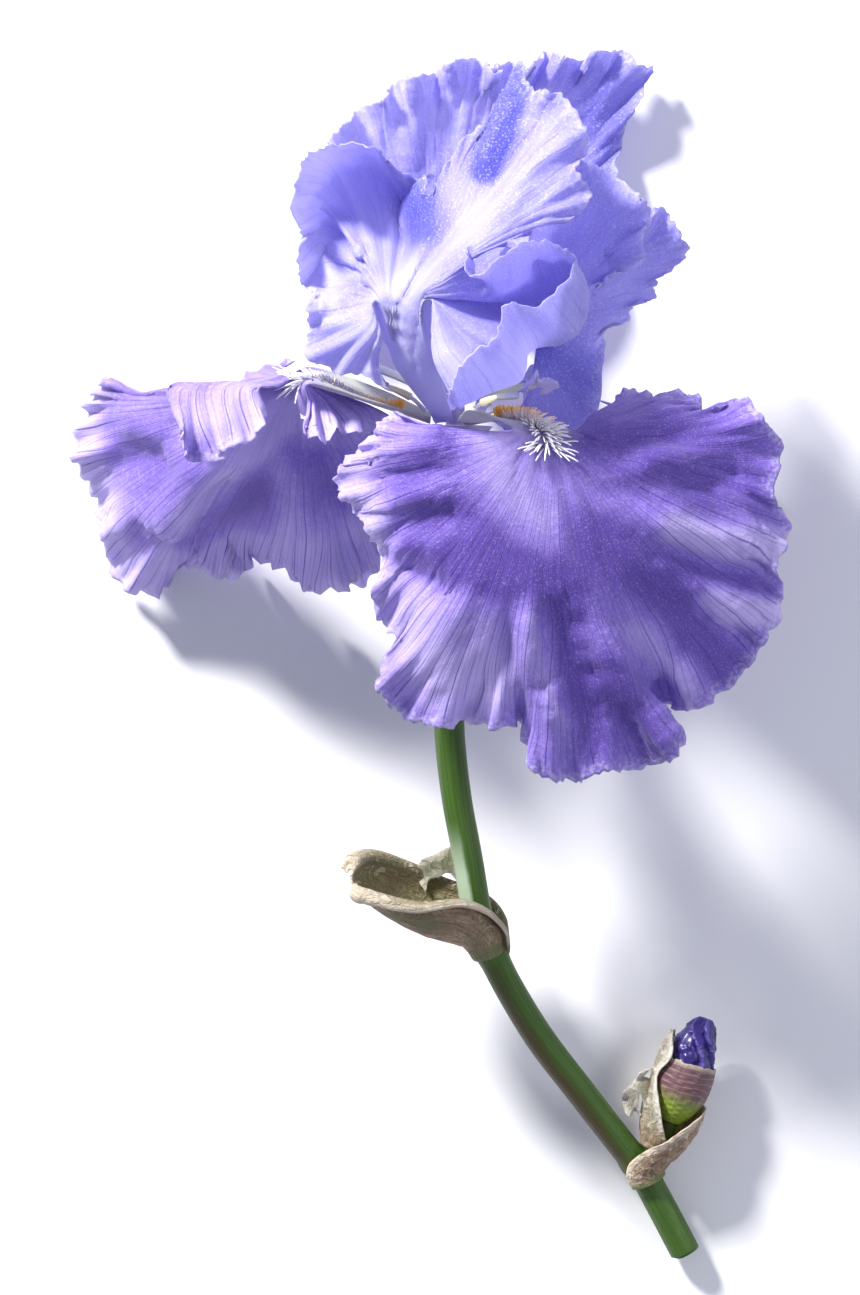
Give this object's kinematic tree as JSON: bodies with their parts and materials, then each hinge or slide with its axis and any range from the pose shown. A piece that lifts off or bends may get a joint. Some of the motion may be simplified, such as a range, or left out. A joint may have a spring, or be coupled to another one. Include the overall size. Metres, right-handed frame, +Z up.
{
  "type": "bearded iris flower",
  "caption": "Cut bearded iris lying on its back: a ruffled lavender bloom with hairy beards on a bent green stem, a dry papery spathe and a furled side bud.",
  "frame": {"origin": "middle of the flower's footprint, on the surface that it lies on", "axes": "+Y from the cut end of the stem towards the top of the bloom, +Z up from the surface, +X across the bloom"},
  "size_m": [0.1604, 0.2766, 0.1002],
  "materials": {
    "stem": "smooth waxy green with a pale bloom on one side",
    "ovary": "smooth pale green",
    "fall": "velvety violet petal, finely veined",
    "standard": "satiny pale lavender petal, finely veined",
    "beard": "matt white hairs, orange towards the throat",
    "style_arm": "satiny pale lilac",
    "stamen": "matt cream",
    "dry_bract": "dry, papery, streaked tan and brown",
    "pale_bract": "dry, papery, translucent straw",
    "green_bract": "smooth, lime green shading to purplish brown",
    "bud_petals": "smooth deep violet, tightly furled"
  },
  "bodies": {
    "root": {"stem": "stem", "ovary_tube": "ovary", "fall_front": "fall", "fall_left": "fall", "fall_back": "fall", "standard_front": "standard", "standard_left": "standard", "standard_right": "standard", "beard_front": "beard", "beard_left": "beard", "beard_back": "beard", "style_arm_front": "style_arm", "style_arm_left": "style_arm", "style_arm_back": "style_arm", "stamen_front": "stamen", "stamen_left": "stamen", "stamen_back": "stamen", "spathe_outer": "dry_bract", "spathe_inner": "pale_bract", "bud_lower_bract": "dry_bract", "bud_outer_bract": "pale_bract", "bud_inner_bract": "green_bract", "bud_petals": "bud_petals"}
  },
  "joints": []
}
